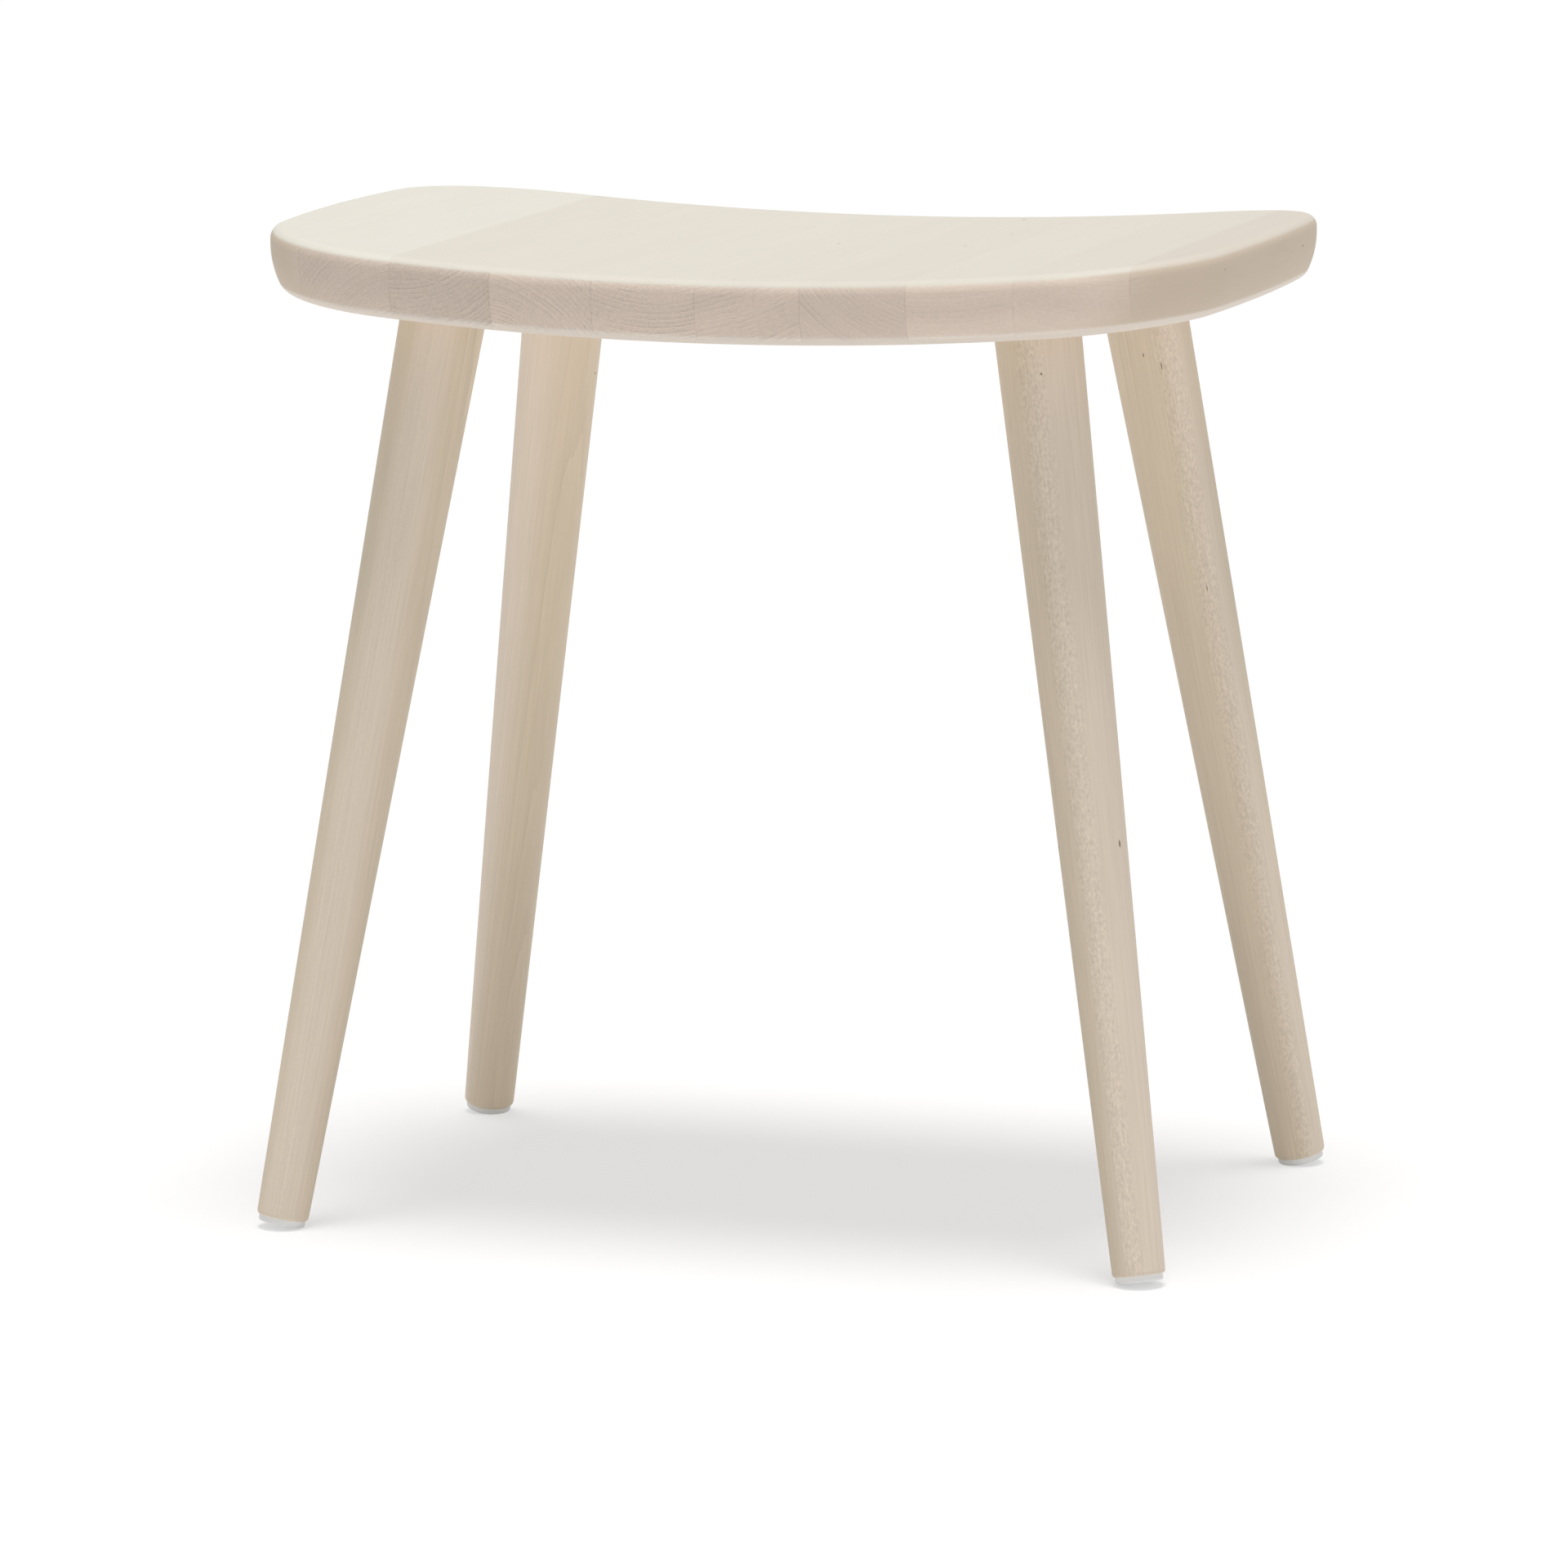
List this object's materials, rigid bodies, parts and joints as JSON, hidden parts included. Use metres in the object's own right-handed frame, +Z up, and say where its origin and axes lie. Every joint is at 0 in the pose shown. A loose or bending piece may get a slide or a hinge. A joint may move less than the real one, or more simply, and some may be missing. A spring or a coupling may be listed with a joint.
{
  "type": "low stool",
  "caption": "Low four-legged wooden stool: rounded oblong seat with a shallow saddle, glued from front-to-back staves, on splayed conical legs with small round glides.",
  "frame": {"origin": "on the floor, under the middle of the seat", "axes": "+X along the seat's length to the right, +Y to the back, +Z up"},
  "size_m": [0.451, 0.2938, 0.45],
  "materials": {
    "seat_birch": "pale birch, white-oiled, matt",
    "leg_birch": "pale birch, white-oiled, matt",
    "glide_plastic": "off-white moulded plastic"
  },
  "bodies": {
    "root": {"seat_stave_01": "seat_birch", "seat_stave_02": "seat_birch", "seat_stave_03": "seat_birch", "seat_stave_04": "seat_birch", "seat_stave_05": "seat_birch", "seat_stave_06": "seat_birch", "seat_stave_07": "seat_birch", "seat_stave_08": "seat_birch", "seat_stave_09": "seat_birch", "seat_stave_10": "seat_birch", "leg_front_left": "leg_birch", "leg_front_right": "leg_birch", "leg_rear_left": "leg_birch", "leg_rear_right": "leg_birch", "glide_front_left": "glide_plastic", "glide_front_right": "glide_plastic", "glide_rear_left": "glide_plastic", "glide_rear_right": "glide_plastic"}
  },
  "joints": []
}
